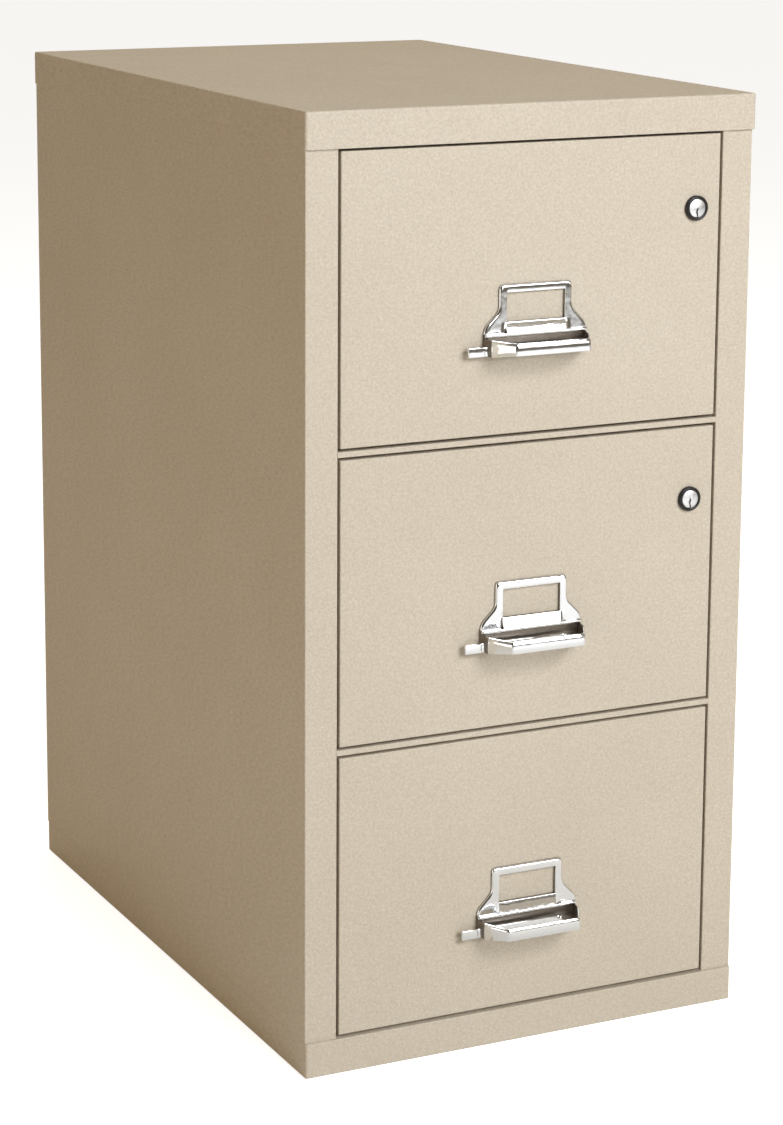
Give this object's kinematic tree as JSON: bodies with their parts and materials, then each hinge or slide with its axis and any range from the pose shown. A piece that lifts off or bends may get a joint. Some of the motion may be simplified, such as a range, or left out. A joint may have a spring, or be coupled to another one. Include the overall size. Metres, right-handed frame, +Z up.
{
  "type": "insulated filing cabinet",
  "caption": "Vertical insulated metal filing cabinet with full-extension drawers, chrome pull handles with label windows and thumb latches, and keyed locks.",
  "frame": {"origin": "on the floor under the middle of the top cap", "axes": "+Z up; the drawers face and open towards -Y; +X is to the right of someone who stands in front"},
  "size_m": [0.5286, 0.8415, 1.0223],
  "materials": {
    "cabinet_paint": "satin",
    "inner_paint": "satin",
    "mineral_insulation": "matte",
    "zinc_steel": "satin",
    "chrome": "polished",
    "lock_bezel": "gloss",
    "lock_face": "polished"
  },
  "bodies": {
    "cabinet": {"left_side_panel": "cabinet_paint", "right_side_panel": "cabinet_paint", "back_panel": "cabinet_paint", "top_cap": "cabinet_paint", "base_pan": "cabinet_paint", "header_rail": "cabinet_paint", "divider_rails": "cabinet_paint", "left_insulation": "mineral_insulation", "right_insulation": "mineral_insulation", "back_insulation": "mineral_insulation", "top_insulation": "mineral_insulation", "bottom_insulation": "mineral_insulation", "divider_insulation": "mineral_insulation", "compartment_liner_1": "inner_paint", "compartment_liner_2": "inner_paint", "compartment_liner_3": "inner_paint", "cabinet_slides": "zinc_steel"},
    "drawer_1": {"front_pan_1": "cabinet_paint", "front_insulation_1": "mineral_insulation", "inner_front_1": "inner_paint", "tray_1": "inner_paint", "drawer_slides_1": "zinc_steel", "handle_1": "chrome", "handle_screws_1": "zinc_steel", "latch_spring_1": "zinc_steel", "lock_housing_1": "lock_bezel"},
    "slide_rails_1": {"slide_rails_1": "zinc_steel"},
    "latch_1": {"thumb_latch_1": "chrome", "latch_bolt_1": "zinc_steel"},
    "follower_1": {"follower_1": "zinc_steel"},
    "lock_plug_1": {"lock_plug_1": "lock_face"},
    "lock_bolt_1": {"lock_bolt_1": "zinc_steel"},
    "drawer_2": {"front_pan_2": "cabinet_paint", "front_insulation_2": "mineral_insulation", "inner_front_2": "inner_paint", "tray_2": "inner_paint", "drawer_slides_2": "zinc_steel", "handle_2": "chrome", "handle_screws_2": "zinc_steel", "latch_spring_2": "zinc_steel", "lock_housing_2": "lock_bezel"},
    "slide_rails_2": {"slide_rails_2": "zinc_steel"},
    "latch_2": {"thumb_latch_2": "chrome", "latch_bolt_2": "zinc_steel"},
    "follower_2": {"follower_2": "zinc_steel"},
    "lock_plug_2": {"lock_plug_2": "lock_face"},
    "lock_bolt_2": {"lock_bolt_2": "zinc_steel"},
    "drawer_3": {"front_pan_3": "cabinet_paint", "front_insulation_3": "mineral_insulation", "inner_front_3": "inner_paint", "tray_3": "inner_paint", "drawer_slides_3": "zinc_steel", "handle_3": "chrome", "handle_screws_3": "zinc_steel", "latch_spring_3": "zinc_steel"},
    "slide_rails_3": {"slide_rails_3": "zinc_steel"},
    "latch_3": {"thumb_latch_3": "chrome", "latch_bolt_3": "zinc_steel"},
    "follower_3": {"follower_3": "zinc_steel"}
  },
  "joints": [
    {"name": "drawer_1_slide", "type": "slide", "parent": "cabinet", "child": "drawer_1", "axis": [0, -1, 0], "range_m": [0, 0.676]},
    {"name": "slide_rails_1_slide", "type": "slide", "parent": "cabinet", "child": "slide_rails_1", "axis": [0, -1, 0], "range_m": [0, 0.338]},
    {"name": "latch_1_slide", "type": "slide", "parent": "drawer_1", "child": "latch_1", "axis": [1, 0, 0], "range_m": [0, 0.009], "stiffness_N_per_m": 300, "springref_m": -0.006, "deforming": ["latch_spring_1"]},
    {"name": "follower_1_slide", "type": "slide", "parent": "drawer_1", "child": "follower_1", "axis": [0, -1, 0], "range_m": [0, 0.45]},
    {"name": "lock_plug_1_turn", "type": "hinge", "parent": "drawer_1", "child": "lock_plug_1", "pos_m": [0.1938, -0.3971, 0.90214], "axis": [0, 1, 0], "range_deg": [0, 90]},
    {"name": "lock_bolt_1_slide", "type": "slide", "parent": "drawer_1", "child": "lock_bolt_1", "axis": [1, 0, 0], "range_m": [0, 0.01]},
    {"name": "drawer_2_slide", "type": "slide", "parent": "cabinet", "child": "drawer_2", "axis": [0, -1, 0], "range_m": [0, 0.676]},
    {"name": "slide_rails_2_slide", "type": "slide", "parent": "cabinet", "child": "slide_rails_2", "axis": [0, -1, 0], "range_m": [0, 0.338]},
    {"name": "latch_2_slide", "type": "slide", "parent": "drawer_2", "child": "latch_2", "axis": [1, 0, 0], "range_m": [0, 0.009], "stiffness_N_per_m": 300, "springref_m": -0.006, "deforming": ["latch_spring_2"]},
    {"name": "follower_2_slide", "type": "slide", "parent": "drawer_2", "child": "follower_2", "axis": [0, -1, 0], "range_m": [0, 0.45]},
    {"name": "lock_plug_2_turn", "type": "hinge", "parent": "drawer_2", "child": "lock_plug_2", "pos_m": [0.1938, -0.3971, 0.58493], "axis": [0, 1, 0], "range_deg": [0, 90]},
    {"name": "lock_bolt_2_slide", "type": "slide", "parent": "drawer_2", "child": "lock_bolt_2", "axis": [1, 0, 0], "range_m": [0, 0.01]},
    {"name": "drawer_3_slide", "type": "slide", "parent": "cabinet", "child": "drawer_3", "axis": [0, -1, 0], "range_m": [0, 0.676]},
    {"name": "slide_rails_3_slide", "type": "slide", "parent": "cabinet", "child": "slide_rails_3", "axis": [0, -1, 0], "range_m": [0, 0.338]},
    {"name": "latch_3_slide", "type": "slide", "parent": "drawer_3", "child": "latch_3", "axis": [1, 0, 0], "range_m": [0, 0.009], "stiffness_N_per_m": 300, "springref_m": -0.006, "deforming": ["latch_spring_3"]},
    {"name": "follower_3_slide", "type": "slide", "parent": "drawer_3", "child": "follower_3", "axis": [0, -1, 0], "range_m": [0, 0.45]}
  ],
  "couplings": [
    {"joint": "slide_rails_1_slide", "follows": "drawer_1_slide", "ratio": 0.5},
    {"joint": "lock_plug_1_turn", "follows": "lock_bolt_1_slide", "rad_per_m": 157.08},
    {"joint": "slide_rails_2_slide", "follows": "drawer_2_slide", "ratio": 0.5},
    {"joint": "lock_plug_2_turn", "follows": "lock_bolt_2_slide", "rad_per_m": 157.08},
    {"joint": "slide_rails_3_slide", "follows": "drawer_3_slide", "ratio": 0.5}
  ]
}
